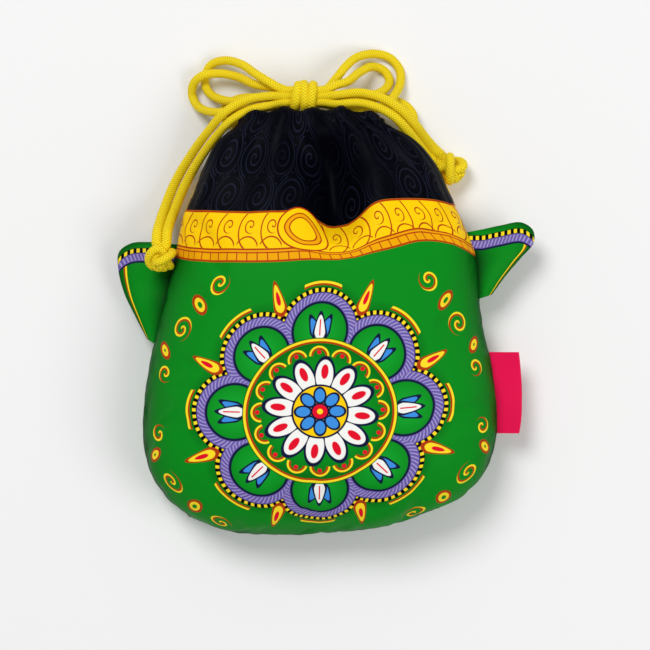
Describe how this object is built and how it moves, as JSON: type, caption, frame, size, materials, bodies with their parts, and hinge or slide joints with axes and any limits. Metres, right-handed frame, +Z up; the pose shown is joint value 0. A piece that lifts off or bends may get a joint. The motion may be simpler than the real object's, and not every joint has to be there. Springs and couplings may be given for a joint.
{
  "type": "drawstring pouch",
  "caption": "Padded cloth pouch lying on its back, its mouth gathered shut by two round cords that run through folded hems and are tied in a bow.",
  "frame": {"origin": "on the flat patch of the back panel that the pouch lies on, below the middle of its width", "axes": "+X to the pouch's right as seen from above, +Y towards its mouth, +Z up from the table"},
  "size_m": [0.1524, 0.1784, 0.0433],
  "materials": {
    "front_cloth": "printed satin cloth, padded: black top, yellow band, green body",
    "back_cloth": "the same printed cloth, finished plainly",
    "ear_cloth": "printed padded cloth with a purple border",
    "label_ribbon": "woven satin ribbon, bare",
    "cord": "braided polyester cord"
  },
  "bodies": {
    "root": {"front_panel": "front_cloth", "back_panel": "back_cloth", "left_ear": "ear_cloth", "right_ear": "ear_cloth", "side_label": "label_ribbon", "bow_knot": "cord", "left_end_knot": "cord", "right_end_knot": "cord", "left_drawcord": "cord", "right_drawcord": "cord", "left_loop_outer": "cord", "left_loop_inner": "cord", "right_loop_outer": "cord", "right_loop_inner": "cord", "left_tail_inner": "cord", "left_tail_outer": "cord", "right_tail_inner": "cord", "right_tail_outer": "cord"}
  },
  "joints": []
}
